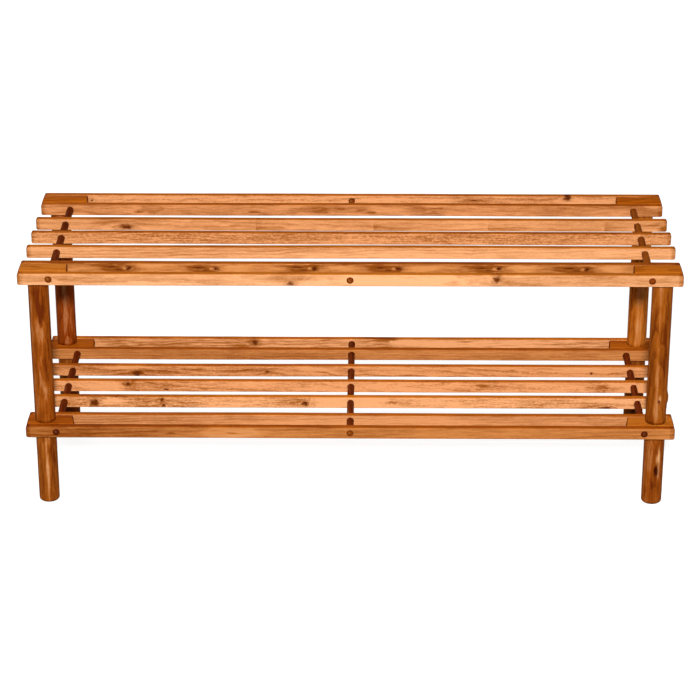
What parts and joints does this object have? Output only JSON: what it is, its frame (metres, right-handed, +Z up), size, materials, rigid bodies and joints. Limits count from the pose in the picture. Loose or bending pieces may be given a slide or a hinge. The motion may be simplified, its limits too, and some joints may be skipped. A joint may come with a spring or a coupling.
{
  "type": "entryway bench",
  "caption": "Low two-tier slatted wood bench: an open slatted seat above one slatted shoe shelf, on round pole legs at the corners.",
  "frame": {"origin": "on the floor under the middle of the bench", "axes": "+X along the bench to its right end as seen from the front, +Y to the rear, +Z up"},
  "size_m": [0.74, 0.26, 0.29],
  "materials": {
    "slat_wood": "oiled fir, satin, light orange brown on the sawn faces",
    "block_wood": "oiled fir block, satin, mid brown",
    "leg_wood": "turned fir pole, oiled, satin, warm brown",
    "dowel_wood": "hardwood dowel, dark stained, matt"
  },
  "bodies": {
    "root": {"seat_slat_1": "slat_wood", "seat_slat_2": "slat_wood", "seat_slat_3": "slat_wood", "seat_slat_4": "slat_wood", "seat_slat_5": "slat_wood", "seat_slat_6": "slat_wood", "seat_slat_7": "slat_wood", "seat_leg_block_front_left": "block_wood", "seat_leg_block_front_right": "block_wood", "seat_leg_block_rear_left": "block_wood", "seat_leg_block_rear_right": "block_wood", "seat_dowel_left": "dowel_wood", "seat_dowel_right": "dowel_wood", "shelf_slat_1": "slat_wood", "shelf_slat_2": "slat_wood", "shelf_slat_3": "slat_wood", "shelf_slat_4": "slat_wood", "shelf_slat_5": "slat_wood", "shelf_slat_6": "slat_wood", "shelf_slat_7": "slat_wood", "shelf_leg_block_front_left": "block_wood", "shelf_leg_block_front_right": "block_wood", "shelf_leg_block_rear_left": "block_wood", "shelf_leg_block_rear_right": "block_wood", "shelf_dowel_left": "dowel_wood", "shelf_dowel_centre": "dowel_wood", "shelf_dowel_right": "dowel_wood", "post_front_left": "leg_wood", "foot_front_left": "leg_wood", "post_front_right": "leg_wood", "foot_front_right": "leg_wood", "post_rear_left": "leg_wood", "foot_rear_left": "leg_wood", "post_rear_right": "leg_wood", "foot_rear_right": "leg_wood", "seat_plug_front": "dowel_wood", "seat_plug_rear": "dowel_wood"}
  },
  "joints": []
}
